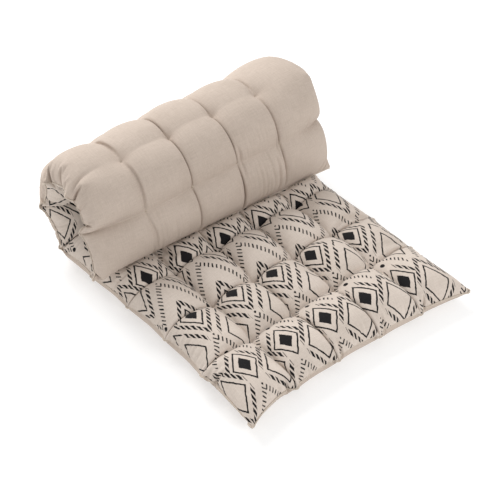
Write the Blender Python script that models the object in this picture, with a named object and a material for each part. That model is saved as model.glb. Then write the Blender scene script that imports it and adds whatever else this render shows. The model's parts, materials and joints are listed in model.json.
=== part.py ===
"""Tufted cotton futon mattress, its far half rolled up into one loose loop.

The mattress is two panels sewn together round the border, printed and plain, stuffed with
cotton and drawn together by rows of tuft ties. It bends only along those rows, so it is
built as ten strips of five stuffed cells, one from each tuft row to the next.

X runs across the width, Y from the free end towards the roll, Z up. The origin is on the
floor, under the middle of the whole object.
"""

from math import cos, pi, radians, sin, tan

import bpy

# Driving dimensions, in metres. Rows are numbered from the free end: row 0 is its seam,
# rows 1 to 9 are tuft rows and row 10 is the seam at the end of the roll.
STRIPS = 10
FLAT_PITCH = 0.120  # tuft row to tuft row where the mattress lies flat
ROLLED_PITCH = 0.112  # shorter in the roll, whose inner panel is crumpled
ROLLED_ROWS = (5, 6, 7, 8, 9)  # the rows at which the roll bends
BEND = radians(55)  # at each of those rows
FOLDING_ROWS = (3, 2, 1)  # the rows at which the free end can be folded up
BORDER_STRETCH = 1.15  # the strip at the free end is this much longer than the next one
HALF_WIDTH_FLAT = 0.285  # from the free end to the first row below
HALF_WIDTH_ROLLED = 0.312  # from the second one, where rolling spreads the cells
WIDENING_ROWS = (3, 7)
MID_HEIGHT = 0.035  # of the seams above the floor
ROW_3_Y = 0.0395  # puts the origin under the middle of the object

EDGE = 0.0022  # half the thickness at a tuft row or a seam
CROWN_PRINTED = 0.0355  # how far a cell swells above that on the printed side
CROWN_PLAIN = 0.031  # and on the plain side
CROWN_ON_FLOOR = 0.042  # before the floor presses it flat
CREASE = 0.6  # share of the crown left in the crease between two cells of a strip
COVER = 0.0012  # thickness of the cotton panels
GAP = 0.0003  # between pieces that touch

SCALLOP = 0.005  # how far the ties draw the border in
EAR_SIDEWAYS = 0.005  # how far the sewn corners stand out across the width
EAR_FREE_END = 0.010  # and along it, on the free end
EAR_ROLLED_END = 0.003  # and where the roll's end rests just clear of the flat part
NOTCH = 0.006  # room round a tuft tie at the edge of a strip
HINGE_GAP = EDGE * tan(BEND / 2) + 0.0003  # keeps two thin edges apart in a full bend
SEAM_WIDTH = 0.003
SEAM_HALF_THICKNESS = 0.0015
TIE_RADIUS = 0.001
TWINE_RADIUS = 0.0007  # of the twine inside a row, on its bending axis
KNOT_RADIUS = 0.002
TIE_HALF_LENGTH = 0.006

LINES = (-2.68, -1.5, -0.5, 0.5, 1.5, 2.68)  # seams and tuft columns, in column pitches
ACROSS = 3  # mesh steps across a cell
ALONG = 4  # mesh steps along a cell
COLUMNS = ACROSS * (len(LINES) - 1)
TIE_SIDES = 6

COLOURS = {
    "printed_cotton": (0.62, 0.55, 0.48, 1),
    "plain_cotton": (0.66, 0.59, 0.52, 1),
    "cotton_batting": (0.83, 0.80, 0.74, 1),
    "seam_thread": (0.70, 0.64, 0.56, 1),
    "tuft_twine": (0.55, 0.48, 0.40, 1),
}


def remove_everything():
    for thing in list(bpy.data.objects):
        bpy.data.objects.remove(thing)


def material(name, slot):
    """A matt cotton material in the slot's colour."""
    made = bpy.data.materials.new(name)
    made.use_nodes = True
    shader = made.node_tree.nodes["Principled BSDF"]
    shader.inputs["Base Color"].default_value = COLOURS[slot]
    shader.inputs["Roughness"].default_value = 0.9
    shader.inputs["Metallic"].default_value = 0.0
    return made


def node(name, slot, points, faces, parent):
    """A named piece in the frame of its parent empty, with a material of its own."""
    mesh = bpy.data.meshes.new(name)
    mesh.from_pydata(points, [], faces)
    mesh.materials.append(material(name, slot))
    piece = bpy.data.objects.new(name, mesh)
    piece.parent = parent
    bpy.context.collection.objects.link(piece)
    return piece


def row_frame(name, parent, y, z, bend):
    """An empty on a row's bending axis, turned by the bend there."""
    empty = bpy.data.objects.new(name, None)
    empty.parent = parent
    empty.location = (0, y, z)
    empty.rotation_euler = (bend, 0, 0)
    bpy.context.collection.objects.link(empty)
    return empty


def half_width(row):
    first, last = WIDENING_ROWS
    share = min(max((row - first) / (last - first), 0), 1)
    return HALF_WIDTH_FLAT + (HALF_WIDTH_ROLLED - HALF_WIDTH_FLAT) * share


def line_offset(column):
    """Where a mesh column lies, from -1 at the left seam to 1 at the right one."""
    cell, step = divmod(column, ACROSS)
    if cell == len(LINES) - 1:
        return 1.0
    width = LINES[cell + 1] - LINES[cell]
    return (LINES[cell] + width * step / ACROSS) / LINES[-1]


def on_side_seam(column):
    return column in (0, COLUMNS)


def on_tuft_column(column):
    return column % ACROSS == 0 and not on_side_seam(column)


class Strip:
    """One strip of cells, between two rows, in the frame of its bending row."""

    def __init__(self, number, start, end):
        self.number = number
        self.start, self.end = start, end  # along the strip, from the bending row
        self.on_floor = number <= ROLLED_ROWS[0]

    def row(self, step):
        return self.number - 1 + step / ALONG

    def at_seam(self, step):
        """True on the short seams that close the mattress."""
        return self.row(step) in (0, STRIPS)

    def place(self, column, step):
        """A mesh point's x and y."""
        row = self.row(step)
        x = half_width(row) * line_offset(column)
        y = self.start + (self.end - self.start) * step / ALONG
        if step not in (0, ALONG):
            return x, y
        inward = 1 if step == 0 else -1
        outward_x = 1 if x > 0 else -1
        if self.at_seam(step):
            if on_side_seam(column):
                ear = EAR_FREE_END if row == 0 else EAR_ROLLED_END
                return x + outward_x * EAR_SIDEWAYS, y - inward * ear
            if on_tuft_column(column):
                y += inward * SCALLOP
            return x, y
        y += inward * (HINGE_GAP + (NOTCH if on_tuft_column(column) else 0))
        if on_side_seam(column):
            x -= outward_x * SCALLOP
        return x, y

    def swell(self, column, step, crown):
        """Half the thickness at a mesh point."""
        if on_side_seam(column) or step in (0, ALONG):
            return EDGE
        across = CREASE if on_tuft_column(column) else 1.0
        return EDGE + crown * across * sin(pi * step / ALONG) ** 0.6

    def printed(self, column, step):
        return self.swell(column, step, CROWN_PRINTED)

    def plain(self, column, step):
        if self.on_floor:
            return min(self.swell(column, step, CROWN_ON_FLOOR), MID_HEIGHT)
        return self.swell(column, step, CROWN_PLAIN)

    def sheet(self, height):
        """All mesh points of a surface whose height over the seams is given."""
        return [
            (*self.place(column, step), height(column, step))
            for step in range(ALONG + 1)
            for column in range(COLUMNS + 1)
        ]


def layer(upper, lower):
    """A closed body between two sheets with the same outline."""
    width = COLUMNS + 1
    count = len(upper)
    faces = []
    for step in range(ALONG):
        for column in range(COLUMNS):
            a = step * width + column
            b, c, d = a + 1, a + 1 + width, a + width
            faces += [(a, b, c), (a, c, d)]
            faces += [(count + c, count + b, count + a), (count + d, count + c, count + a)]
    near = list(range(width))
    right = [step * width + COLUMNS for step in range(1, ALONG + 1)]
    far = [ALONG * width + column for column in range(COLUMNS - 1, -1, -1)]
    left = [step * width for step in range(ALONG - 1, 0, -1)]
    rim = near + right + far + left
    for here, there in zip(rim, rim[1:] + rim[:1]):
        faces += [(here, count + here, count + there), (here, count + there, there)]
    return upper + lower, faces


def make_covers_and_filling(strip, frame):
    number = f"{strip.number:02d}"
    outer = strip.sheet(strip.printed)
    inner = strip.sheet(lambda column, step: strip.printed(column, step) - COVER)
    node(f"printed_cover_{number}", "printed_cotton", *layer(outer, inner), frame)

    inner = strip.sheet(lambda column, step: COVER - strip.plain(column, step))
    outer = strip.sheet(lambda column, step: -strip.plain(column, step))
    node(f"plain_cover_{number}", "plain_cotton", *layer(inner, outer), frame)

    skin = COVER + GAP
    top = strip.sheet(lambda column, step: strip.printed(column, step) - skin)
    bottom = strip.sheet(lambda column, step: skin - strip.plain(column, step))
    node(f"cotton_filling_{number}", "cotton_batting", *layer(top, bottom), frame)


def bar(outline):
    """A closed flat bar with the given outline, centred on the seams' height."""
    count = len(outline)
    area = sum(
        x * next_y - next_x * y
        for (x, y), (next_x, next_y) in zip(outline, outline[1:] + outline[:1])
    )
    if area < 0:
        outline = outline[::-1]
    points = [(x, y, SEAM_HALF_THICKNESS) for x, y in outline]
    points += [(x, y, -SEAM_HALF_THICKNESS) for x, y in outline]
    faces = [tuple(range(count)), tuple(range(2 * count - 1, count - 1, -1))]
    for here in range(count):
        there = (here + 1) % count
        faces.append((here, count + here, count + there, there))
    return points, faces


def side_line(strip, side, away):
    """Points along a side seam, that far outside the covers."""
    column = 0 if side < 0 else COLUMNS
    line = [strip.place(column, step) for step in range(ALONG + 1)]
    return [(x + side * away, y) for x, y in line]


def border_line(strip, away):
    """Points round the three sewn sides of an end strip, that far outside the covers."""
    first_end = strip.number == 1
    left, right = side_line(strip, -1, away), side_line(strip, 1, away)
    step, outward = (0, -1) if first_end else (ALONG, 1)
    end = [strip.place(column, step) for column in range(COLUMNS + 1)]
    end = [(x, y + outward * away) for x, y in end]
    end[0] = (left[step][0], end[0][1])
    end[-1] = (right[step][0], end[-1][1])
    if first_end:
        return left[:0:-1] + end + right[1:]
    return left[:-1] + end + right[-2::-1]


def make_edge_seam(strip, frame):
    """The sewn border of one strip, which runs round the end on the first and last."""
    number = f"{strip.number:02d}"
    near, far = GAP, GAP + SEAM_WIDTH
    if strip.number in (1, STRIPS):
        outline = border_line(strip, far) + border_line(strip, near)[::-1]
        node(f"end_seam_{number}", "seam_thread", *bar(outline), frame)
        return
    for side, word in ((-1, "left"), (1, "right")):
        outline = side_line(strip, side, far) + side_line(strip, side, near)[::-1]
        node(f"side_seam_{word}_{number}", "seam_thread", *bar(outline), frame)


def turned(profile, sides, place):
    """Closed bodies of revolution, one for each placement of the (along, radius) profile."""
    points, faces = [], []
    for at in place:
        start = len(points)
        for along, radius in profile:
            for side in range(sides):
                angle = 2 * pi * side / sides
                points.append(at(radius * cos(angle), radius * sin(angle), along))
        for ring in range(len(profile) - 1):
            for side in range(sides):
                a = start + ring * sides + side
                b = start + ring * sides + (side + 1) % sides
                faces.append((a, b, b + sides, a + sides))
        last = start + (len(profile) - 1) * sides
        faces.append(tuple(reversed(range(start, start + sides))))
        faces.append(tuple(range(last, last + sides)))
    return points, faces


def make_tuft_ties(row, frame, turn):
    """A row of ties, knotted on both sides, on one twine that runs inside between them."""
    spool = [
        (-TIE_HALF_LENGTH, KNOT_RADIUS),
        (KNOT_RADIUS - TIE_HALF_LENGTH, TIE_RADIUS),
        (TIE_HALF_LENGTH - KNOT_RADIUS, TIE_RADIUS),
        (TIE_HALF_LENGTH, KNOT_RADIUS),
    ]
    columns = [half_width(row) * line / LINES[-1] for line in LINES[1:-1]]
    upright = [lambda x, y, z, at=column: (at + x, y, z) for column in columns]
    ties = node(f"tuft_ties_{row:02d}", "tuft_twine", *turned(spool, TIE_SIDES, upright), frame)
    ties.rotation_euler = (turn, 0, 0)

    run = [(columns[0], TWINE_RADIUS), (columns[-1], TWINE_RADIUS)]
    lying = [lambda y, z, x: (x, y, z)]
    twine = node(f"inner_twine_{row:02d}", "tuft_twine", *turned(run, TIE_SIDES, lying), frame)
    twine.hide_render = True
    twine.display_type = "WIRE"
    join = ties.modifiers.new("inner twine", "BOOLEAN")
    join.operation = "UNION"
    join.object = twine


def make_strip(number, start, end, frame):
    strip = Strip(number, start, end)
    make_covers_and_filling(strip, frame)
    make_edge_seam(strip, frame)


def build():
    remove_everything()
    # The base lies on the floor: strips 4 and 5, from row 3 to row 5.
    base = row_frame("base_frame", None, ROW_3_Y, MID_HEIGHT, 0)
    make_strip(4, 0, FLAT_PITCH, base)
    make_strip(5, FLAT_PITCH, FLAT_PITCH + ROLLED_PITCH, base)
    make_tuft_ties(3, base, 0)
    ties_4 = row_frame("row_4", base, FLAT_PITCH, 0, 0)
    make_tuft_ties(4, ties_4, 0)

    # The free end: strips 3, 2 and 1, each hanging on the row nearer the base.
    frame = row_frame("row_3", base, 0, 0, 0)
    for row in FOLDING_ROWS:
        reach = FLAT_PITCH * (BORDER_STRETCH if row == 1 else 1)
        make_strip(row, -reach, 0, frame)
        if row > 1:
            make_tuft_ties(row - 1, row_frame(f"ties_{row - 1}", frame, -reach, 0, 0), 0)
            frame = row_frame(f"row_{row - 1}", frame, -reach, 0, 0)

    # The roll: strips 6 to 10, each turned up from the one before it.
    frame = base
    reach = FLAT_PITCH + ROLLED_PITCH
    for row in ROLLED_ROWS:
        frame = row_frame(f"row_{row}", frame, reach, 0, BEND)
        reach = ROLLED_PITCH
        make_strip(row + 1, 0, reach, frame)
        make_tuft_ties(row, frame, -BEND / 2)


build()
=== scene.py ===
"""The looks of the half rolled futon mattress.

Two flat panels of cotton, printed and plain, are sewn together round the border, laid along
the strips of the CAD frame and tied down at the tufts. A small cloth solver then inflates
them as the filling does. The result is cut between the tuft rows, so that each piece spans
one hinge of the frame.
"""

import json
from math import cos, pi, radians, sin

import bpy
import numpy as np
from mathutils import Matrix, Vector


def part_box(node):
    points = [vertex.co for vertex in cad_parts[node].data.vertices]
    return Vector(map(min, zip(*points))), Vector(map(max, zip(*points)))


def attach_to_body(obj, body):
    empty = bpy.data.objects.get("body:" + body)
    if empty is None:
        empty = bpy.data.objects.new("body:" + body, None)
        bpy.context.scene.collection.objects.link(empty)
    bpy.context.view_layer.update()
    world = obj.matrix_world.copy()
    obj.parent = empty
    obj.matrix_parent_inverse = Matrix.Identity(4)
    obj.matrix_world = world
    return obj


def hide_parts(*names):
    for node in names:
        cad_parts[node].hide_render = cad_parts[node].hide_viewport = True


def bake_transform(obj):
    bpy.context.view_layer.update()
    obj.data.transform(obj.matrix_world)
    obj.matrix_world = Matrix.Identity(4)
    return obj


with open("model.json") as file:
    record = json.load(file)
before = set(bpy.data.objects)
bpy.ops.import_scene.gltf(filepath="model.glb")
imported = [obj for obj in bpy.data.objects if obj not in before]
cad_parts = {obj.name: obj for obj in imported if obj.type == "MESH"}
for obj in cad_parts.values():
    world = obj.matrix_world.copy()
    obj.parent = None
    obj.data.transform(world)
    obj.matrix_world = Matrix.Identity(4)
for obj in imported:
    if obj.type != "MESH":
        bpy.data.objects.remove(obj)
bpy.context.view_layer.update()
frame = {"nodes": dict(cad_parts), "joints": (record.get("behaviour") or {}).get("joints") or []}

# ---------------------------------------------------------------- the frame's rows

STRIPS = 10
COLUMNS = 5
ROLLED_ROWS = (5, 6, 7, 8, 9)
FOLDING_ROWS = (1, 2, 3)
BORDER_CELL = 1.18  # a border cell is this much wider than an inner one
KNOT = 0.0035  # across one of the frame's ties
FREE_SEAM_IN = 0.008  # from the frame's free end to its seam

joints = {joint["name"]: joint for joint in frame["joints"]}


def row_places():
    """Each row's (y, z): the free end's seam, the nine tuft rows, and the rolled end's seam."""
    places = {row: joints[f"fold_row_{row}"]["pos_m"][1:] for row in FOLDING_ROWS}
    places.update({row: joints[f"unroll_row_{row}"]["pos_m"][1:] for row in ROLLED_ROWS})
    low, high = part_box("tuft_ties_04")
    places[4] = ((low.y + high.y) / 2, (low.z + high.z) / 2)
    low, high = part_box("printed_cover_01")
    places[0] = (low.y + FREE_SEAM_IN, places[1][1])
    low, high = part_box("plain_cover_10")
    places[STRIPS] = (high.y, low.z)
    return np.array([places[row] for row in range(STRIPS + 1)])


def tie_pitches():
    """The distance between tuft columns at each row."""
    pitches = {}
    for row in range(1, STRIPS):
        low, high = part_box(f"tuft_ties_{row:02d}")
        pitches[row] = (high.x - low.x - KNOT) / 3
    pitches[0], pitches[STRIPS] = pitches[1], pitches[STRIPS - 1]
    return np.array([pitches[row] for row in range(STRIPS + 1)])


ROWS = row_places()
PITCHES = tie_pitches()

# ---------------------------------------------------------------- the cloth's grid

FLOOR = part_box("plain_cover_04")[0].z
PRINTED, PLAIN = 0, 1
CLOTH_ROW, CLOTH_COLUMN = 0.132, 0.121  # metres of print from tuft row to row, column to column
COARSE, FINE = 24, 48  # mesh steps across a cell, while inflating and while settling
BORDER_STEPS = 7 / 6  # a border cell has this many times the steps of an inner one
TURN = (4.5, 5.5)  # from the strip where the flat part ends to the strip where the roll begins


class Grid:
    """The steps of the cloth's mesh, along (v) and across (u) the mattress."""

    def __init__(self, per_cell):
        border = round(per_cell * BORDER_STEPS)
        self.per_cell = per_cell
        self.rows = np.cumsum([0, border] + [per_cell] * (STRIPS - 2) + [border])
        self.columns = np.cumsum([0, border] + [per_cell] * (COLUMNS - 2) + [border])
        self.nv, self.nu = self.rows[-1] + 1, self.columns[-1] + 1
        self.v = np.interp(np.arange(self.nv), self.rows, np.arange(STRIPS + 1))
        self.u = np.interp(np.arange(self.nu), self.columns, np.arange(COLUMNS + 1))


def rolled_share(v):
    """0 on the flat part of the mattress and 1 on the roll."""
    return np.interp(v, TURN, (0, 1))


# ---------------------------------------------------------------- the cloth solver

# Where the ties hold the cloth.
TIE_HALF = 0.0075  # half the thickness that a tie leaves
ROLLED_TIE_OUT = -0.009  # how much further out ties reach on the outside of the roll
LAST_ROW_SINK = 0.009  # how far the last row's ties lie inside the frame's own
JITTER_FLAT, JITTER_DEEP = 0.0022, 0.0012  # how far hand-tied tufts stray
START_THICK, START_SWELL = 0.004, 0.010  # half the thickness before inflating, and mid-cell more

# How the filled cloth moves.
LIFT = 1.0e-5  # what the filling's pressure adds to a point's travel in each solver step
DRAG = 0.98  # the share of its travel that a point keeps from step to step
COARSE_STEPS, FINE_STEPS = ((600, 200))
BENDING = 0.02  # how firmly the cloth resists bending and shear, as a share of its threads
SHEAR = 0.12
CREASED_ROWS = slice(1, 6)  # the tuft rows at which the cloth bends freely along the mattress
UNEVEN_FILLING = 0.12
WEIGHT = 0.06  # of the filled cloth, as a share of the pressure
SKIN = 0.0006  # kept between surfaces that press on each other
TINY, TINY_AREA = 1e-7, 1e-12  # keep divisors from being 0
TOUCH_AREA = (0.70, 0.80)  # the height map in which the roll's end meets the flat part
TOUCH_CELL = 0.004
TOUCH_ROWS = (2, 5)  # the rows of the flat part that lie under the roll's end
TOUCH_EVERY = 4  # solver steps
TOUCH_DEEP = 0.03  # no overlap is deeper than this
TOUCH_SHARES = (0.6, 0.4)  # of an overlap, for the roll's end and for the flat part
TOP_ONLY = 0.01  # only cloth this near the top of the flat part is pressed down

# The cloth's length over the straight distance between tufts: along a line of tufts, where it
# sinks in, and halfway between two lines, where it bulges. Keys say where and which way.
SLACK = {
    "flat top along": (1.03, 1.20),
    "flat top across": (1.03, 1.20),
    "flat underside along": (1.01, 1.04),
    "flat underside across": (1.01, 1.04),
    "roll inside along": (1.03, 1.18),
    "roll inside across": (1.03, 1.18),
    "roll outside along": (1.08, 1.25),
    "roll outside across": (1.07, 1.19),
}
# The same from the last tufts to the seam. The roll's outer panel wraps round its ends.
FLAT_SEAM_SLACK = (1.01, 1.08)
ROLL_SEAM_SLACK = {"roll inside": (1.06, 1.10), "roll outside": (1.13, 1.19)}
LEFT_BORDER, RIGHT_BORDER = (1.03, 0.93), (1.02, 1.18)  # the side borders' width, flat and rolled
FREE_BORDER = (1.16, 0.98, 1.01, 1.11, 1.24)  # from left to right: its corners stand out
FREE_BORDER_AT = (0, 0.7, COLUMNS / 2, COLUMNS - 0.7, COLUMNS)
EAR, EAR_REACH = 1.07, 0.8  # how much wider the cloth is at the free end's seam, and over what
ROLL_END = (0.99, 0.94, 0.78)  # the same at the roll's end: left border, middle, right border
# How far the cloth may rise above a straight line between tufts, across and along the mattress.
VALLEY = {
    "flat top": (0.0165, 0.0165),
    "flat underside": (0.006, 0.006),
    "roll inside": (0.018, 0.018),
    "roll outside": (0.018, 0.032),
}
ROLL_BORDER_VALLEYS = (1.3, 2.8)  # times as high in the roll's left and right borders
LAST_ROW_VALLEY = 0.4  # the last row bends least, so its valley is shallow
SHARP, SOFT = 0.5, 1.3  # how steeply the cloth leaves a valley
SEAM_HOLD = 0.02  # how firmly the seams stay at the height and place that the frame has
FREE_SEAM_HEIGHT = 0.030
END_SKEW = (-0.020, -0.016)  # the roll's end hangs nearer and lower on the right
UNEVEN_VALLEYS = (0.7, 1.3)

random = np.random.default_rng(7)


def bend_planes():
    """For each tuft row: its number, a point on it and the direction in which strips lie."""
    planes = []
    for row in range(1, STRIPS):
        back, ahead = ROWS[row] - ROWS[row - 1], ROWS[row + 1] - ROWS[row]
        along = back / np.hypot(*back) + ahead / np.hypot(*ahead)
        planes.append((row, ROWS[row], along / np.hypot(*along)))
    return planes


def tie_places():
    """Where each tie holds each panel: [axis, panel, row, column] for rows 1 to 9."""
    across = np.arange(COLUMNS - 1) - (COLUMNS - 2) / 2
    held = np.zeros((3, 2, STRIPS - 1, COLUMNS - 1))
    for row, place, along in bend_planes():
        upward = np.array([-along[1], along[0]])
        if row == ROLLED_ROWS[-1]:
            place = place + LAST_ROW_SINK * upward
        out = TIE_HALF + (ROLLED_TIE_OUT if row in ROLLED_ROWS[1:] else 0)
        for panel, reach in ((PRINTED, TIE_HALF), (PLAIN, -out)):
            held[0, panel, row - 1] = across * PITCHES[row]
            held[1:, panel, row - 1] = (place + reach * upward)[:, None]
    size = np.array([JITTER_FLAT, JITTER_FLAT, JITTER_DEEP])
    stray = random.normal(size=(3, STRIPS - 1, COLUMNS - 1)) * size[:, None, None]
    return (held + stray[:, None]).astype(np.float32)


def flat_lay(grid):
    """Both panels laid thin along the strips, barely parted so that they inflate outwards."""
    lines = np.arange(COLUMNS + 1) - COLUMNS / 2
    lines[0], lines[-1] = -COLUMNS / 2 + 1 - BORDER_CELL, COLUMNS / 2 - 1 + BORDER_CELL
    across = np.interp(grid.u, np.arange(COLUMNS + 1), lines)
    pitch = np.interp(grid.v, np.arange(STRIPS + 1), PITCHES)
    strip = np.minimum(grid.v.astype(int), STRIPS - 1)
    share = grid.v - strip
    start, end = ROWS[strip], ROWS[strip + 1]
    direction = (end - start) / np.linalg.norm(end - start, axis=1)[:, None]
    upward = np.stack([-direction[:, 1], direction[:, 0]])
    middle = (start + (end - start) * share[:, None]).T
    swell = np.outer(np.sin(pi * share), np.abs(np.sin(pi * grid.u)))
    height = START_THICK + START_SWELL * swell
    points = np.zeros((3, 2, grid.nv, grid.nu), dtype=np.float32)
    for panel, side in ((PRINTED, 1), (PLAIN, -1)):
        points[0, panel] = np.outer(pitch, across)
        points[1:, panel] = middle[:, :, None] + side * height * upward[:, :, None]
    return points


def bump(place, power=SHARP):
    """0 on each tuft line and 1 halfway between two."""
    return np.abs(np.sin(pi * place)) ** power


def slack_between(way, rolled, in_border):
    """Both panels' slack, [panel, on or between lines, ...], where rolled or in a border."""
    table = []
    for flat, roll in (("flat top", "roll inside"), ("flat underside", "roll outside")):
        for end in (0, 1):
            start, stop = SLACK[f"{flat} {way}"][end], SLACK[f"{roll} {way}"][end]
            inner = start + (stop - start) * rolled
            start, stop = FLAT_SEAM_SLACK[end], ROLL_SEAM_SLACK[roll][end]
            seam = start + (stop - start) * rolled
            table.append(np.where(in_border, seam, inner))
    return np.array(table).reshape(2, 2, *rolled.shape)


def thread_lengths(grid, ties):
    """Resting lengths of the mesh's steps along v and across u: [panel, v, u]."""
    held = ties.mean(axis=3)
    held[0] = 0
    free, end = (
        np.repeat([[0], [row[0]], [row[1]]], 2, axis=1) for row in (ROWS[0], ROWS[STRIPS])
    )
    stops = [free, *np.moveaxis(held, 2, 0), end]
    chords = np.array([np.linalg.norm(b - a, axis=0) for a, b in zip(stops, stops[1:])])
    step_v = (grid.v[:-1] + grid.v[1:]) / 2
    strip = step_v.astype(int)
    per_step = (chords / np.diff(grid.rows)[:, None])[strip].T
    rolled = rolled_share(step_v)
    slacks = slack_between("along", rolled, (strip == 0) | (strip == STRIPS - 1))
    on_line, between_lines = np.moveaxis(slacks, 1, 0)[..., None]
    rest_v = per_step[:, :, None] * (on_line + (between_lines - on_line) * bump(grid.u))
    rest_v[:, strip == 0] *= np.interp(grid.u, FREE_BORDER_AT, FREE_BORDER)

    step_u = (grid.u[:-1] + grid.u[1:]) / 2
    rolled = rolled_share(grid.v)[:, None]
    in_left, in_right = step_u < 1, step_u > COLUMNS - 1
    in_border = in_left | in_right
    width = np.where(in_border, BORDER_CELL / BORDER_STEPS, 1) / grid.per_cell
    kept = np.where(in_border, 0, 1.0)
    for side, (flat, roll) in ((in_left, LEFT_BORDER), (in_right, RIGHT_BORDER)):
        kept = kept + side * (flat + (roll - flat) * rolled)
    kept = kept * np.interp(grid.v, (0, EAR_REACH), (EAR, 1))[:, None]
    left_end, middle_end, right_end = ROLL_END
    end_kept = np.select([in_left, in_right], [left_end, right_end], middle_end)
    kept = kept * (1 + np.outer(np.interp(grid.v, (STRIPS - 1, STRIPS), (0, 1)), end_kept - 1))
    pitch = np.interp(grid.v, np.arange(STRIPS + 1), PITCHES)[:, None]
    shape = (grid.nv, len(step_u))
    slacks = slack_between(
        "across", np.broadcast_to(rolled, shape), np.broadcast_to(in_border, shape)
    )
    on_line, between_lines = np.moveaxis(slacks, 1, 0)
    softer = SHARP + (SOFT - SHARP) * rolled[:, 0]
    profile = np.stack([bump(grid.v), bump(grid.v, softer)])[..., None]
    rest_u = pitch * width * kept * (on_line + (between_lines - on_line) * profile)
    return rest_v.astype(np.float32), rest_u.astype(np.float32)


def springs(points, grid, ties):
    """Pairs of views of the points, with resting lengths and strengths; no set shares a point."""
    rest_v, rest_u = thread_lengths(grid, ties)
    nv, nu = grid.nv, grid.nu
    pairs = []
    for start in (0, 1):
        pairs.append((
            points[:, :, start : nv - 1 : 2], points[:, :, start + 1 : nv : 2],
            rest_v[:, start::2], 1.0,
        ))
        pairs.append((
            points[..., start : nu - 1 : 2], points[..., start + 1 : nu : 2],
            rest_u[..., start::2], 1.0,
        ))
    slant = np.hypot(
        (rest_v[:, :, 1:] + rest_v[:, :, :-1]) / 2, (rest_u[:, 1:] + rest_u[:, :-1]) / 2
    )
    for start in (0, 1):
        near, far = points[:, :, start : nv - 1 : 2], points[:, :, start + 1 : nv : 2]
        pairs.append((near[..., :-1], far[..., 1:], slant[:, start::2], SHEAR))
        pairs.append((near[..., 1:], far[..., :-1], slant[:, start::2], SHEAR))
    reach_v, reach_u = rest_v[:, 1:] + rest_v[:, :-1], rest_u[..., 1:] + rest_u[..., :-1]
    stiff_v = np.full((nv - 2, 1), BENDING, dtype=np.float32)
    stiff_v[grid.rows[CREASED_ROWS] - 1] = 0
    stiff_u = np.full(nu - 2, BENDING, dtype=np.float32)
    stiff_u[grid.columns[1:-1] - 1] = 0
    for start in range(4):
        pairs.append((
            points[:, :, start : nv - 2 : 4], points[:, :, start + 2 : nv : 4],
            reach_v[:, start::4], stiff_v[start::4],
        ))
        pairs.append((
            points[..., start : nu - 2 : 4], points[..., start + 2 : nu : 4],
            reach_u[..., start::4], stiff_u[start::4],
        ))
    return pairs


def pull(near, far, rest, strength):
    """Moves two equal sets of points towards their resting distance."""
    apart = far - near
    length = np.sqrt(np.einsum("kpij,kpij->pij", apart, apart))
    np.maximum(length, TINY, out=length)
    apart *= 0.5 * strength * (1 - rest / length)
    near += apart
    far -= apart


def outward(points):
    """Area-weighted normals that point out of the mattress."""
    along_u = np.empty_like(points)
    np.subtract(points[..., 2:], points[..., :-2], out=along_u[..., 1:-1])
    along_u[..., 0] = points[..., 1] - points[..., 0]
    along_u[..., -1] = points[..., -1] - points[..., -2]
    along_v = np.empty_like(points)
    np.subtract(points[:, :, 2:], points[:, :, :-2], out=along_v[:, :, 1:-1])
    along_v[:, :, 0] = points[:, :, 1] - points[:, :, 0]
    along_v[:, :, -1] = points[:, :, -1] - points[:, :, -2]
    normals = np.empty_like(points)
    for k in range(3):
        i, j = (k + 1) % 3, (k + 2) % 3
        normals[k] = along_u[i] * along_v[j] - along_u[j] * along_v[i]
    normals[:, PLAIN] *= -1
    return normals


def sew_border(points):
    """Brings both panels together along all four edges."""
    for edge in ((0, slice(None)), (-1, slice(None)), (slice(None), 0), (slice(None), -1)):
        seam = (points[(slice(None), PRINTED, *edge)] + points[(slice(None), PLAIN, *edge)]) / 2
        points[(slice(None), PRINTED, *edge)] = seam
        points[(slice(None), PLAIN, *edge)] = seam


def keep_apart(points, grid, planes, lines):
    """Cells press on their neighbours in the planes between them, and on the floor."""
    for row, place, along in planes:
        before = slice(grid.rows[row - 1] + 1, grid.rows[row])
        after = slice(grid.rows[row] + 1, grid.rows[row + 1])
        for part, side in ((before, -1), (after, 1)):
            y, z = points[1, :, part], points[2, :, part]
            beyond = side * ((y - place[0]) * along[0] + (z - place[1]) * along[1]) - SKIN
            np.minimum(beyond, 0, out=beyond)
            y -= side * along[0] * beyond
            z -= side * along[1] * beyond
    for column in range(1, COLUMNS):
        left = points[0, :, :, grid.columns[column - 1] + 1 : grid.columns[column]]
        right = points[0, :, :, grid.columns[column] + 1 : grid.columns[column + 1]]
        line = lines[:, column - 1, None]
        np.minimum(left, line - SKIN, out=left)
        np.maximum(right, line + SKIN, out=right)
    np.maximum(points[2], FLOOR, out=points[2])


def arch(place):
    """0 at each tuft and 1 halfway between two, round like half a circle."""
    return np.sqrt(4 * (place % 1) * (1 - place % 1))


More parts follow.
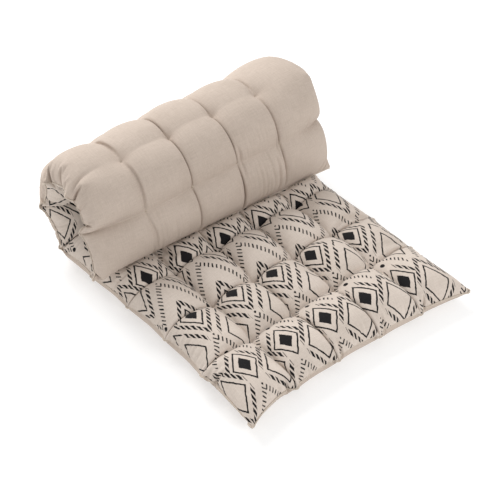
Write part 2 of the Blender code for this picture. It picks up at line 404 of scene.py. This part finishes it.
def valley_depths(grid):
    """How far the cloth may rise above each straight line between tufts: [panel, line, point]."""
    rolled = rolled_share(grid.v)
    faces = (("flat top", "roll inside"), ("flat underside", "roll outside"))
    across, along = (
        np.array([
            VALLEY[flat][way] + (VALLEY[roll][way] - VALLEY[flat][way]) * rolled
            for flat, roll in faces
        ])
        for way in (0, 1)
    )
    strip = np.minimum(grid.v.astype(int), STRIPS - 1)
    column = np.minimum(grid.u.astype(int), COLUMNS - 1)
    stray_u = random.uniform(*UNEVEN_VALLEYS, size=(2, COLUMNS - 1, STRIPS))[:, :, strip]
    stray_v = random.uniform(*UNEVEN_VALLEYS, size=(2, STRIPS - 1, COLUMNS))[:, :, column]
    more = np.select([grid.u < 1, grid.u > COLUMNS - 1], ROLL_BORDER_VALLEYS, 1) - 1
    eased = 1 + np.outer(rolled[grid.rows[1:-1]], more)
    eased[-1] *= LAST_ROW_VALLEY
    on_rows = across[:, grid.rows[1:-1], None] * eased * arch(grid.u) * stray_v
    on_columns = np.repeat((along * arch(grid.v))[:, None], COLUMNS - 1, axis=1) * stray_u
    return on_rows.astype(np.float32), on_columns.astype(np.float32)


def sink_lines(points, grid, on_rows, on_columns):
    """Keeps the cloth on the lines between neighbouring tufts from rising out of its valley."""
    for axis, lines, ends, depths, stops in (
        (2, grid.rows[1:-1], grid.columns, on_rows, grid.u),
        (3, grid.columns[1:-1], grid.rows, on_columns, grid.v),
    ):
        line = np.take(points, lines, axis=axis)
        if axis == 3:
            line = line.swapaxes(2, 3)
        corners = line[..., ends]
        cell = np.minimum(stops.astype(int), len(ends) - 2)
        share = (stops - cell).astype(np.float32)
        chord = corners[..., cell] * (1 - share) + corners[..., cell + 1] * share
        rise = line - chord
        length = np.sqrt((rise**2).sum(axis=0))
        line = chord + rise * np.minimum(1, depths / np.maximum(length, TINY))
        if axis == 2:
            points[:, :, lines] = line
        else:
            points[:, :, :, lines] = line.swapaxes(2, 3)


def rest_end_on_flat(points, grid):
    """The roll's end and the flat part under it push each other apart."""
    width, length = TOUCH_AREA
    across, lengthwise = int(width / TOUCH_CELL), int(length / TOUCH_CELL)

    def index(p):
        """Each point's cell in the height map."""
        i = np.clip(((p[0] + width / 2) / TOUCH_CELL).astype(int), 0, across - 1)
        j = np.clip(((p[1] + length / 2) / TOUCH_CELL).astype(int), 0, lengthwise - 1)
        return i * lengthwise + j

    start, stop = grid.rows[list(TOUCH_ROWS)]
    flat = points[:, PRINTED, start:stop]
    roll = points[:, :, grid.rows[ROLLED_ROWS[-1]] :]
    at_flat, at_roll = index(flat), index(roll)
    heights = np.full(across * lengthwise, -1, dtype=np.float32)
    np.maximum.at(heights, at_flat.ravel(), flat[2].ravel())
    depth = heights[at_roll] + SKIN - roll[2]
    deep = np.where((depth > 0) & (depth < TOUCH_DEEP), depth, 0)
    roll[2] += TOUCH_SHARES[0] * deep
    dents = np.zeros(across * lengthwise, dtype=np.float32)
    np.maximum.at(dents, at_roll.ravel(), deep.ravel())
    near_top = flat[2] > heights[at_flat] - TOP_ONLY
    flat[2] -= TOUCH_SHARES[1] * dents[at_flat] * near_top


def cell_fullness(grid, fullness):
    """How hard each cell is stuffed, changing smoothly over the cloth."""
    v = np.clip(grid.v - 0.5, 0, STRIPS - 1)
    u = np.clip(grid.u - 0.5, 0, COLUMNS - 1)
    i, j = np.minimum(v.astype(int), STRIPS - 2), np.minimum(u.astype(int), COLUMNS - 2)
    fv, fu = (v - i)[:, None], (u - j)[None, :]
    along = fullness[:, i] * (1 - fv) + fullness[:, i + 1] * fv
    return ((1 - fu) * along[..., j] + fu * along[..., j + 1]).astype(np.float32)


def settle(points, grid, ties, fullness, steps):
    """Lets the cloth inflate between the ties for a number of solver steps."""
    lines = np.stack([
        np.interp(grid.v, np.arange(1, STRIPS), ties[0, PRINTED, :, column])
        for column in range(COLUMNS - 1)
    ], axis=1).astype(np.float32)
    planes = bend_planes()
    pairs = springs(points, grid, ties)
    coarser = (COARSE / grid.per_cell) ** 2
    area = 4 * CLOTH_ROW * CLOTH_COLUMN / grid.per_cell**2
    lift = LIFT * coarser / area * cell_fullness(grid, fullness)
    valleys = valley_depths(grid)
    skew = np.outer(END_SKEW, grid.u / COLUMNS)
    end_seam = (ROWS[STRIPS][:, None] + skew).astype(np.float32)[:, None]
    on_floor = slice(0, grid.rows[ROLLED_ROWS[0]])
    before = points.copy()
    tied_v, tied_u = grid.rows[1:-1, None], grid.columns[None, 1:-1]
    for step in range(steps):
        travel = (points - before) * np.float32(DRAG)
        before[:] = points
        points += travel
        points += outward(points) * lift
        points[2] -= WEIGHT * LIFT * coarser
        for near, far, rest, strength in pairs:
            pull(near, far, rest, strength)
        sink_lines(points, grid, *valleys)
        points[1:, :, -1] += SEAM_HOLD * (end_seam - points[1:, :, -1])
        points[2, :, 0] += SEAM_HOLD * (FREE_SEAM_HEIGHT - points[2, :, 0])
        sides = points[2, :, on_floor, [0, -1]]
        points[2, :, on_floor, [0, -1]] = sides + SEAM_HOLD * (ROWS[1][1] - sides)
        sew_border(points)
        keep_apart(points, grid, planes, lines)
        if step % TOUCH_EVERY == 0:
            rest_end_on_flat(points, grid)
        points[:, :, tied_v, tied_u] = ties
    return points


def inflate():
    """The two panels after the filling has swollen them out between the ties."""
    ties = tie_places()
    fullness = 1 + UNEVEN_FILLING * random.normal(size=(2, STRIPS, COLUMNS))
    coarse, fine = Grid(COARSE), Grid(FINE)
    points = settle(flat_lay(coarse), coarse, ties, fullness, COARSE_STEPS)
    points = between(between(points, 2), 3)
    return settle(points, fine, ties, fullness, FINE_STEPS), fine


def between(field, axis):
    """The field with a smooth value added between each pair of neighbours on one axis."""
    field = np.moveaxis(field, axis, 0)
    ahead = np.concatenate([field[1:], 2 * field[-1:] - field[-2:-1]])
    behind = np.concatenate([2 * field[:1] - field[1:2], field[:-1]])
    after = np.concatenate([ahead[1:], 2 * ahead[-1:] - ahead[-2:-1]])
    middle = (9 * (field + ahead) - behind - after) / 16
    finer = np.empty((2 * len(field) - 1, *field.shape[1:]), dtype=field.dtype)
    finer[::2], finer[1::2] = field, middle[:-1]
    return np.ascontiguousarray(np.moveaxis(finer, 0, axis))


# ---------------------------------------------------------------- pieces of cloth


def unit_normals(points):
    """Normals of length 1 that point out of the mattress."""
    normals = outward(points)
    return normals / np.maximum(np.sqrt((normals**2).sum(axis=0)), TINY_AREA)


def cloth_places(grid):
    """Each point's place on the print, in cells from the middle and from the free end."""
    lines = np.arange(COLUMNS + 1) - COLUMNS / 2
    lines[0] -= BORDER_CELL - 1
    lines[-1] += BORDER_CELL - 1
    rows = np.arange(STRIPS + 1.0)
    rows[0] -= BORDER_CELL - 1
    rows[-1] += BORDER_CELL - 1
    u = np.interp(grid.u, np.arange(COLUMNS + 1), lines)
    v = np.interp(grid.v, np.arange(STRIPS + 1), rows)
    return np.stack(np.meshgrid(u, v), axis=-1)


def cloth_piece(name, points, normals, places, panel, material):
    """A mesh of one panel between two cuts, with its place on the print as its UV map."""
    rows, columns = points.shape[1:]
    index = np.arange(rows * columns).reshape(rows, columns)
    quads = np.stack([index[:-1, :-1], index[:-1, 1:], index[1:, 1:], index[1:, :-1]], axis=-1)
    if panel == PLAIN:
        quads = quads[..., ::-1]
    quads = quads.reshape(-1, 4)
    mesh = bpy.data.meshes.new(name)
    mesh.vertices.add(index.size)
    mesh.vertices.foreach_set("co", points.reshape(3, -1).T.astype(np.float32).ravel())
    mesh.loops.add(quads.size)
    mesh.loops.foreach_set("vertex_index", quads.ravel().astype(np.int32))
    mesh.polygons.add(len(quads))
    mesh.polygons.foreach_set("loop_start", np.arange(0, quads.size, 4, dtype=np.int32))
    mesh.update(calc_edges=True)
    mesh.shade_smooth()
    uv = mesh.uv_layers.new(name="cloth")
    uv.data.foreach_set("uv", places.reshape(-1, 2)[quads.ravel()].astype(np.float32).ravel())
    mesh.normals_split_custom_set_from_vertices(normals.reshape(3, -1).T.tolist())
    mesh.materials.append(material)
    piece = bpy.data.objects.new(name, mesh)
    bpy.context.collection.objects.link(piece)
    return piece


def cut_steps(grid):
    """The grid rows at which the cloth is cut: halfway along strips 2 to 9."""
    middles = [(grid.rows[k - 1] + grid.rows[k]) // 2 for k in range(2, STRIPS)]
    return [0, *middles, grid.nv - 1]


BODY_OF_STRIP = {1: "strip_01", 2: "strip_02", 3: "strip_03", 4: "base", 5: "base"}
BODY_OF_STRIP.update({strip: f"strip_{strip:02d}" for strip in range(6, STRIPS + 1)})
BLEND_REACH = 0.028  # from a row's hinge to where the bend ends


def attach(piece, row):
    """Parents a piece to its tuft row's body where both strips share one; across a hinge it only
    bakes the piece's transform.
    """
    body, next_body = BODY_OF_STRIP[row], BODY_OF_STRIP[row + 1]
    if body == next_body:
        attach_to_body(piece, body)
        return
    _, place, along = bend_planes()[row - 1]
    start, end = place - BLEND_REACH * along, place + BLEND_REACH * along
    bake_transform(piece)


# ---------------------------------------------------------------- ties and seams

TWINE_RADIUS = 0.0011
KNOT_RADIUS = 0.0026
KNOT_TURNS, KNOT_RISE, KNOT_STEPS = 1.1, 0.0010, 18
TAIL_LENGTH, TAIL_DROOP, TAIL_STEPS = 0.009, 0.004, 7
TAIL_RISE, TAIL_LEAN, TAIL_THIN = 0.5, 0.6, 0.75
ASKEW = (0, 0.37, 0.93)  # a direction that no knot faces
CLEAR_OF_FLOOR = 0.006  # lower than this, the floor hides a knot
SEAM_THICK = 0.0010  # how far the sewn edge stands out round the border
SEAM_ROUND = 1.6  # its radius, as a share of that
STITCH_PITCH, STITCH_PULL, STITCH_STEPS = 0.0042, 0.22, 3
SEAM_BACK = 2  # mesh steps from the seam to the cloth that it points away from


def tube(path, radii, sides=8, squash=1.0, ups=None):
    """Vertices and faces of a closed-ended tube along a path, with a radius at each point."""
    path = np.asarray(path, dtype=float)
    forward = np.gradient(path, axis=0)
    forward /= np.linalg.norm(forward, axis=1)[:, None]
    if ups is None:
        ups = np.broadcast_to((0.1, 0.2, 1.0), path.shape)
    right = np.cross(forward, ups)
    right /= np.linalg.norm(right, axis=1)[:, None]
    up = np.cross(right, forward)
    angles = np.arange(sides) * 2 * pi / sides
    ring = np.cos(angles)[:, None, None] * right + squash * np.sin(angles)[:, None, None] * up
    vertices = (path + ring * np.asarray(radii)[:, None]).swapaxes(0, 1).reshape(-1, 3)
    faces = []
    for k in range(len(path) - 1):
        for side in range(sides):
            a, b = k * sides + side, k * sides + (side + 1) % sides
            faces.append((a, b, b + sides, a + sides))
    faces.append(tuple(reversed(range(sides))))
    faces.append(tuple(range((len(path) - 1) * sides, len(path) * sides)))
    return vertices.tolist(), faces


def joined(name, parts, material):
    """One object from several lists of vertices and faces."""
    vertices, faces = [], []
    for part_vertices, part_faces in parts:
        first = len(vertices)
        vertices += part_vertices
        faces += [tuple(first + index for index in face) for face in part_faces]
    mesh = bpy.data.meshes.new(name)
    mesh.from_pydata(vertices, [], faces)
    mesh.shade_smooth()
    mesh.materials.append(material)
    made = bpy.data.objects.new(name, mesh)
    bpy.context.collection.objects.link(made)
    return made


def knot(place, outward_way):
    """A small hand-tied knot: a turn of twine round the pinch, and two short tails."""
    way = np.asarray(outward_way) / np.linalg.norm(outward_way)
    side = np.cross(way, ASKEW)
    side /= np.linalg.norm(side)
    across = np.cross(way, side)
    middle = np.asarray(place) + way * TWINE_RADIUS
    turn = np.linspace(0, 2 * pi * KNOT_TURNS, KNOT_STEPS)[:, None]
    ring = middle + KNOT_RADIUS * (np.cos(turn) * side + np.sin(turn) * across)
    ring = ring + way * (KNOT_RISE * np.sin(2 * turn))
    thick = np.full(KNOT_STEPS, TWINE_RADIUS)
    parts = [tube(ring, thick, ups=np.broadcast_to(way, ring.shape))]
    for lean in random.uniform(-TAIL_LEAN, TAIL_LEAN, size=2):
        reach = np.linspace(0, 1, TAIL_STEPS)[:, None]
        tail_way = way * TAIL_RISE + side * lean + across * random.choice((-1.0, 1.0))
        tail = middle + reach * TAIL_LENGTH * tail_way - way * TAIL_DROOP * reach**2
        parts.append(tube(tail, np.full(TAIL_STEPS, TWINE_RADIUS * TAIL_THIN)))
    return parts


def make_ties(points, grid, material):
    """A row of twine knots on both panels for each of the frame's rows of ties."""
    normals = unit_normals(points)
    for row in range(1, STRIPS):
        parts = []
        for column in grid.columns[1:-1]:
            for panel in (PRINTED, PLAIN):
                at = (panel, grid.rows[row], column)
                place = points[(slice(None), *at)]
                if place[2] > FLOOR + CLEAR_OF_FLOOR or panel == PRINTED:
                    parts += knot(place, normals[(slice(None), *at)])
        node = f"tuft_ties_{row:02d}"
        ties = joined(f"twine_knots_{row:02d}", parts, material)
        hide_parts(node)
        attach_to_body(ties, BODY_OF_STRIP[row + 1])


def seam_path(points, edge, inside):
    """The border seam's points, [point, axis], and the way out of the mattress at each."""
    line = points[(slice(None), PRINTED, *edge)].T.astype(float)
    top, bottom = (points[(slice(None), panel, *inside)] for panel in (PRINTED, PLAIN))
    behind = (top + bottom).T / 2
    out = line - behind
    out /= np.linalg.norm(out, axis=1)[:, None]
    return line, out


def seam_edge(name, line, out, material):
    """The narrow doubled edge of a turned seam, drawn in a little at each stitch."""
    length = np.concatenate([[0], np.cumsum(np.linalg.norm(np.diff(line, axis=0), axis=1))])
    fine = np.arange(0, length[-1], STITCH_PITCH / STITCH_STEPS)
    path = np.stack([np.interp(fine, length, line[:, k]) for k in range(3)], axis=1)
    ways = np.stack([np.interp(fine, length, out[:, k]) for k in range(3)], axis=1)
    pulled_in = np.arange(len(fine)) % STITCH_STEPS == 0
    radii = SEAM_THICK * (1 - STITCH_PULL * pulled_in) * SEAM_ROUND
    return joined(name, [tube(path + ways * SEAM_THICK, radii)], material)


def make_seams(points, grid, cuts, material):
    """The border's sewn edge: along both sides, cut as the cloth is, and across both ends."""
    every = slice(None)
    for side, column, inner in (("left", 0, SEAM_BACK), ("right", -1, -1 - SEAM_BACK)):
        line, out = seam_path(points, (every, column), (every, inner))
        for row in range(1, STRIPS):
            part = slice(cuts[row - 1], cuts[row] + 1)
            edge = seam_edge(f"{side}_seam_{row:02d}", line[part], out[part], material)
            strips = (f"side_seam_{side}_{strip:02d}" for strip in (row, row + 1))
            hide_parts(*(node for node in strips if node in frame["nodes"]))
            attach(edge, row)
    for name, node, edge_row, inner, strip in (
        ("free_end_seam", "end_seam_01", 0, SEAM_BACK, 1),
        ("roll_end_seam", "end_seam_10", -1, -1 - SEAM_BACK, STRIPS),
    ):
        line, out = seam_path(points, (edge_row, every), (inner, every))
        edge = seam_edge(name, line, out, material)
        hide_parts(node)
        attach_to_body(edge, BODY_OF_STRIP[strip])


# ---------------------------------------------------------------- materials


class Term:
    """A value in a material's node tree that can be reckoned with like a number."""

    def __init__(self, tree, source):
        self.tree, self.source = tree, source

    def math(self, operation, *others, clamp=False):
        node = self.tree.nodes.new("ShaderNodeMath")
        node.operation, node.use_clamp = operation, clamp
        for socket, value in zip(node.inputs, (self, *others)):
            source = value.source if isinstance(value, Term) else value
            if isinstance(source, (int, float)):
                socket.default_value = source
            else:
                self.tree.links.new(source, socket)
        return Term(self.tree, node.outputs[0])

    def __add__(self, other):
        return self.math("ADD", other)

    def __sub__(self, other):
        return self.math("SUBTRACT", other)

    def __mul__(self, other):
        return self.math("MULTIPLY", other)

    def __rsub__(self, other):
        return self * -1 + other

    __radd__, __rmul__ = __add__, __mul__

    def size(self):
        return self.math("ABSOLUTE")

    def wrapped(self, period):
        return self.math("WRAP", period / 2, -period / 2)

    def below(self, edge, soft=0.007):
        """1 where this is less than the edge, 0 where it is more, with a soft step between."""
        return (edge - self).math("MULTIPLY_ADD", 1 / soft, 0.5, clamp=True)

    def above(self, edge, soft=0.007):
        return (self - edge).math("MULTIPLY_ADD", 1 / soft, 0.5, clamp=True)

    def inside(self, ends):
        return self.above(ends[0]) * self.below(ends[1])

    def either(self, other):
        return self.math("MAXIMUM", other)

    def least(self, other):
        return self.math("MINIMUM", other)


def noise(tree, place, scale, detail=2.0, rough=0.5):
    """Smooth noise from 0 to 1 at a place."""
    node = tree.nodes.new("ShaderNodeTexNoise")
    node.inputs["Scale"].default_value = scale
    node.inputs["Detail"].default_value = detail
    node.inputs["Roughness"].default_value = rough
    tree.links.new(place, node.inputs["Vector"])
    return Term(tree, node.outputs["Fac"])


def mix_colour(tree, share, first, second):
    """The first colour where the share is 0 and the second where it is 1."""
    node = tree.nodes.new("ShaderNodeMix")
    node.data_type = "RGBA"
    tree.links.new(share.source, node.inputs["Factor"])
    for socket, colour in ((node.inputs["A"], first), (node.inputs["B"], second)):
        if isinstance(colour, tuple):
            socket.default_value = (*colour, 1)
        else:
            tree.links.new(colour, socket)
    return node.outputs["Result"]


# The print, in cells between tufts. Rows of filled rhombi A and B alternate, with open rhombi P
# and Q halfway between their columns, and round them rings and zigzags of short strokes.
# A rhombus's "reach" is the distance across it plus STEEPNESS times the distance along it.
PRINT_ACROSS, PRINT_ALONG = 0.93, 2.62
FILLED_COLUMN = -0.22
ROW_A, ROW_B, ROW_P, ROW_Q = 0.45, 1.75, 0.19, 1.16
STEEPNESS = 0.75
PRINT_SKEW = 0.045  # rows of the print run a little out of square
FILLED, OUTLINE, RING, BAND, OPEN, OPEN_RING = 0.112, 0.212, 0.325, 0.495, 0.235, 0.365
ZIGZAG_A, ZIGZAG_B, ROOF_Q = 0.56, 0.67, 0.43
LINE = 0.0155
# How far each mark runs sideways from the middle of its rhombus: a start and an end, or an end.
RING_A_SIDES, BAND_SIDES = (0.09, 0.33), (0.10, 0.34)
RING_P_SIDE, RING_B_SIDE, ZIGZAG_SIDE, ROOF_SIDE = 0.31, 0.33, 0.36, 0.10
RING_P_LOW = -0.52  # where round P's ring stops, along the cloth
DOT_OVER_A, DOT_OVER_B = 0.45, 0.24


def strokes(side, along, reach, spacing=0.058, half_width=0.0180, half_length=0.052):
    """Thick short strokes along the cloth, spaced on the sides of a rhombus of this reach."""
    on_line = along.size() - (reach - side) * (1 / STEEPNESS)
    return (side - spacing / 2).wrapped(spacing).size().below(half_width).least(
        on_line.size().below(half_length)
    )


def ticks(side, along, reach, spacing=0.074, half_width=0.0135, half_length=0.050):
    """Fine ticks squarely across the upper sides of a rhombus of this reach."""
    leaning = (side - along * STEEPNESS + (reach - half_length)).wrapped(spacing)
    on_line = side + along * STEEPNESS - reach
    return leaning.size().below(half_width).least(on_line.size().below(half_length))


def outline(reach_here, reach):
    """A line round a rhombus of this reach."""
    return (reach_here - reach).size().below(LINE)


def dot(across, along, radius=0.041):
    """A round dot at the middle of both measures."""
    distance = across.math("POWER", 2) + along.math("POWER", 2)
    return distance.below(radius**2, soft=0.0006)


def print_ink(tree, u, v):
    """Where the black ink lies, 0 to 1, from the place on the cloth in cells."""
    v = v + u * PRINT_SKEW
    side = (u - FILLED_COLUMN).wrapped(PRINT_ACROSS).size()
    gap_side = PRINT_ACROSS / 2 - side
    a, b, p, q = ((v - row).wrapped(PRINT_ALONG) for row in (ROW_A, ROW_B, ROW_P, ROW_Q))
    filled_reach = (side + a.size() * STEEPNESS).least(side + b.size() * STEEPNESS)
    open_reach = (gap_side + p.size() * STEEPNESS).least(gap_side + q.size() * STEEPNESS)
    marks = [
        filled_reach.below(FILLED),
        outline(filled_reach, OUTLINE),
        outline(open_reach, OPEN),
        # round A: a ring above it that a dot closes, and a zigzag over that
        strokes(side, a, RING) * a.above(0) * side.inside(RING_A_SIDES),
        dot(side, a - DOT_OVER_A),
        ticks(side, a, ZIGZAG_A) * side.below(ZIGZAG_SIDE) * a.above(0),
        # round P: a ring on every side
        strokes(gap_side, p, OPEN_RING) * gap_side.below(RING_P_SIDE) * p.above(RING_P_LOW),
        # round B: a whole ring, part of a second below it, and a zigzag above from side to side
        strokes(side, b, RING) * side.below(RING_B_SIDE),
        strokes(side, b, BAND) * b.below(0) * side.inside(BAND_SIDES),
        ticks(side, b, ZIGZAG_B) * b.above(0),
        dot(gap_side, b - DOT_OVER_B),
        # between B's: a small roof over Q
        outline(gap_side + q * STEEPNESS, ROOF_Q) * gap_side.below(ROOF_SIDE) * q.above(0),
    ]
    ink = marks[0]
    for mark in marks[1:]:
        ink = ink.either(mark)
    return ink


WEAVE_PER_CELL = 95  # threads in a cell, each way
ROUGHNESS, TONE_ROUGHER, INK_SMOOTHER = 0.86, 0.08, 0.12
SHEEN, SHEEN_ROUGHNESS, SPECULAR = 0.04, 0.6, 0.15
SLUB_NOISE, FLECK_NOISE, CLOUD_NOISE = (5, 75), (60, 28), 1.3  # noise scales, across and along
SLUB_TONE, CLOUD_TONE, FLECK_TONE = 0.55, 0.5, 0.4  # how much of each shows in the cotton's tone
WEAVE_RELIEF, SLUB_RELIEF, FLECK_RELIEF = 0.5, 1.3, 0.5
RELIEF_HEIGHT, RELIEF_STRENGTH = 0.0006, 0.35
INK_WEAR, INK_COVER = 0.2, 1.11  # slubs and flecks wear through the ink
DEEP, PALE = (0.74, 0.72, 0.69), (1.18, 1.19, 1.20)  # its colours, as shares of the mean one
INK_WANDER, INK_RAGGED = 0.030, 0.008  # how far the print strays, in cells


def cotton(name, colour, printed_with=None):
    """Slubbed plain-weave cotton, with an ink colour where it is printed."""
    made = bpy.data.materials.new(name)
    made.use_nodes = True
    tree = made.node_tree
    shader = tree.nodes["Principled BSDF"]
    place = tree.nodes.new("ShaderNodeUVMap")
    place.uv_map = "cloth"
    parts = tree.nodes.new("ShaderNodeSeparateXYZ")
    tree.links.new(place.outputs["UV"], parts.inputs["Vector"])
    u, v = Term(tree, parts.outputs["X"]), Term(tree, parts.outputs["Y"])

    def stretched(across, along):
        """The cloth's own coordinates, scaled unequally so that noise runs along the threads."""
        node = tree.nodes.new("ShaderNodeMapping")
        node.inputs["Scale"].default_value = (across, along, 1)
        tree.links.new(place.outputs["UV"], node.inputs["Vector"])
        return node.outputs["Vector"]

    cross_slub = noise(tree, stretched(*SLUB_NOISE), 1.0, 3.0, 0.6)
    long_slub = noise(tree, stretched(*SLUB_NOISE[::-1]), 1.0, 3.0, 0.6)
    cloud = noise(tree, place.outputs["UV"], CLOUD_NOISE, 3.0)
    fleck = noise(tree, stretched(*FLECK_NOISE), 1.0, 2.0, 0.7)
    slubs = (cross_slub - 0.5) * SLUB_TONE + (long_slub - 0.5) * SLUB_TONE
    tone = slubs + (cloud - 0.5) * CLOUD_TONE + (fleck - 0.5) * FLECK_TONE
    tone = tone.math("ADD", 0.5, clamp=True)
    deep = tuple(c * share for c, share in zip(colour, DEEP))
    pale = tuple(min(1, c * share) for c, share in zip(colour, PALE))
    cloth = mix_colour(tree, tone, deep, pale)

    threads = WEAVE_PER_CELL * pi
    crossing = (u * threads).math("SINE") * (v * threads).math("SINE")
    height = crossing * WEAVE_RELIEF + (cross_slub + long_slub) * SLUB_RELIEF
    height = height + fleck * FLECK_RELIEF
    if printed_with:
        wander_u = (noise(tree, stretched(9, 9), 1.0, 2.0) - 0.5) * INK_WANDER
        wander_v = (noise(tree, stretched(7, 11), 1.3, 2.0) - 0.5) * INK_WANDER
        ragged = (noise(tree, stretched(120, 120), 1.0, 1.0) - 0.5) * INK_RAGGED
        ink = print_ink(tree, u + wander_u + ragged, v + wander_v + ragged)
        worn = long_slub * 0.5 + fleck * 0.5
        worn = worn.math("MULTIPLY_ADD", -INK_WEAR, INK_COVER, clamp=True)
        cloth = mix_colour(tree, ink * worn, cloth, printed_with)
        roughness = ink * -INK_SMOOTHER + ROUGHNESS
    else:
        roughness = tone * TONE_ROUGHER + ROUGHNESS - TONE_ROUGHER / 2
    tree.links.new(roughness.source, shader.inputs["Roughness"])
    tree.links.new(cloth, shader.inputs["Base Color"])
    shader.inputs["Sheen Weight"].default_value = SHEEN
    shader.inputs["Sheen Roughness"].default_value = SHEEN_ROUGHNESS
    shader.inputs["Specular IOR Level"].default_value = SPECULAR
    bump = tree.nodes.new("ShaderNodeBump")
    bump.inputs["Distance"].default_value = RELIEF_HEIGHT
    bump.inputs["Strength"].default_value = RELIEF_STRENGTH
    tree.links.new(height.source, bump.inputs["Height"])
    tree.links.new(bump.outputs["Normal"], shader.inputs["Normal"])
    return made


def thread(name, colour, coils_per_metre):
    """Spun thread or twine: fine twisted ridges and a little colour variation."""
    made = bpy.data.materials.new(name)
    made.use_nodes = True
    tree = made.node_tree
    shader = tree.nodes["Principled BSDF"]
    place = tree.nodes.new("ShaderNodeTexCoord").outputs["Object"]
    parts = tree.nodes.new("ShaderNodeSeparateXYZ")
    tree.links.new(place, parts.inputs["Vector"])
    x, y, z = (Term(tree, parts.outputs[axis]) for axis in "XYZ")
    tone = noise(tree, place, 400.0, 3.0)
    dark = tuple(c * 0.75 for c in colour)
    tree.links.new(mix_colour(tree, tone, dark, colour), shader.inputs["Base Color"])
    tree.links.new((tone * 0.2 + 0.7).source, shader.inputs["Roughness"])
    twist = ((x + y * 0.8 + z * 0.6) * (coils_per_metre * 2 * pi)).math("SINE")
    bump = tree.nodes.new("ShaderNodeBump")
    bump.inputs["Distance"].default_value = 0.0002
    bump.inputs["Strength"].default_value = 0.5
    tree.links.new((twist + tone).source, bump.inputs["Height"])
    tree.links.new(bump.outputs["Normal"], shader.inputs["Normal"])
    return made


# ---------------------------------------------------------------- camera, floor and light

CAMERA_PLACE = (-1.0846, -1.3096, 1.5902)
CAMERA_HEADING, CAMERA_DIP = radians(39.7), radians(42.1)
CAMERA_LENS, CAMERA_SENSOR = 78.62, 36
FLOOR_REACH, FLOOR_DROP = 6, 0.0005
FLOOR_GREY, FLOOR_GLOW = (0.6, 0.6, 0.6, 1), 0.45  # the glow makes it white as paper
WORLD_COLOUR, WORLD_STRENGTH = (1.0, 0.99, 0.98, 1), 0.60
LIGHT_SIZE = 1.6
LIGHTS = {  # place and power in watts; all of them face the mattress
    "back": ((0.1, 2.3, 1.9), 72),
    "front": ((0.9, -2.2, 1.6), 27),
    "left": ((-2.5, 0.6, 1.4), 9),
}


def face(thing, way):
    """Turns a camera or light to look along a direction."""
    thing.rotation_mode = "QUATERNION"
    thing.rotation_quaternion = way.to_track_quat("-Z", "Y")


def make_camera():
    camera = bpy.data.objects.new("camera", bpy.data.cameras.new("camera"))
    bpy.context.collection.objects.link(camera)
    level = cos(CAMERA_DIP)
    look = Vector((sin(CAMERA_HEADING) * level, cos(CAMERA_HEADING) * level, -sin(CAMERA_DIP)))
    camera.location = CAMERA_PLACE
    face(camera, look)
    camera.data.sensor_width = CAMERA_SENSOR
    camera.data.lens = CAMERA_LENS
    bpy.context.scene.camera = camera


def make_floor():
    mesh = bpy.data.meshes.new("floor")
    corners = [(-1, -1), (1, -1), (1, 1), (-1, 1)]
    vertices = [(x * FLOOR_REACH, y * FLOOR_REACH, FLOOR - FLOOR_DROP) for x, y in corners]
    mesh.from_pydata(vertices, [], [(0, 1, 2, 3)])
    floor = bpy.data.objects.new("floor", mesh)
    bpy.context.collection.objects.link(floor)
    material = bpy.data.materials.new("floor")
    material.use_nodes = True
    shader = material.node_tree.nodes["Principled BSDF"]
    shader.inputs["Base Color"].default_value = FLOOR_GREY
    shader.inputs["Roughness"].default_value = 0.9
    shader.inputs["Emission Color"].default_value = (1, 1, 1, 1)
    shader.inputs["Emission Strength"].default_value = FLOOR_GLOW
    mesh.materials.append(material)


def make_light():
    world = bpy.data.worlds.new("studio")
    world.use_nodes = True
    background = world.node_tree.nodes["Background"]
    background.inputs["Color"].default_value = WORLD_COLOUR
    background.inputs["Strength"].default_value = WORLD_STRENGTH
    bpy.context.scene.world = world
    for name, (place, power) in LIGHTS.items():
        light = bpy.data.objects.new(name, bpy.data.lights.new(name, "AREA"))
        light.data.size = LIGHT_SIZE
        light.data.energy = power
        light.location = place
        face(light, -Vector(place))
        bpy.context.collection.objects.link(light)
    bpy.context.scene.view_settings.view_transform = "Standard"


# ---------------------------------------------------------------- the mattress


def make_panels(points, grid, cuts, printed, plain):
    """Both panels, cut halfway along the strips so that each piece spans one hinge."""
    normals = unit_normals(points)
    places = cloth_places(grid)
    for row in range(1, STRIPS):
        part = slice(cuts[row - 1], cuts[row] + 1)
        for panel, word, material in ((PRINTED, "printed", printed), (PLAIN, "plain", plain)):
            piece = cloth_piece(
                f"{word}_panel_{row:02d}", points[:, panel, part], normals[:, panel, part],
                places[part], panel, material,
            )
            strips = (row, row + 1)
            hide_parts(*(f"{word}_cover_{strip:02d}" for strip in strips))
            if panel == PRINTED:
                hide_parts(*(f"cotton_filling_{strip:02d}" for strip in strips))
            attach(piece, row)


INK = (0.006, 0.005, 0.006)
printed = cotton("printed_cotton", (0.655, 0.575, 0.512), printed_with=INK)
plain = cotton("plain_cotton", (0.54, 0.455, 0.392))
seam = thread("seam_thread", (0.66, 0.57, 0.48), 300)
twine = thread("tuft_twine", (0.62, 0.53, 0.43), 500)
make_camera()
make_floor()
make_light()

points, grid = inflate()
cuts = cut_steps(grid)
make_panels(points, grid, cuts, printed, plain)
make_ties(points, grid, twine)
make_seams(points, grid, cuts, seam)
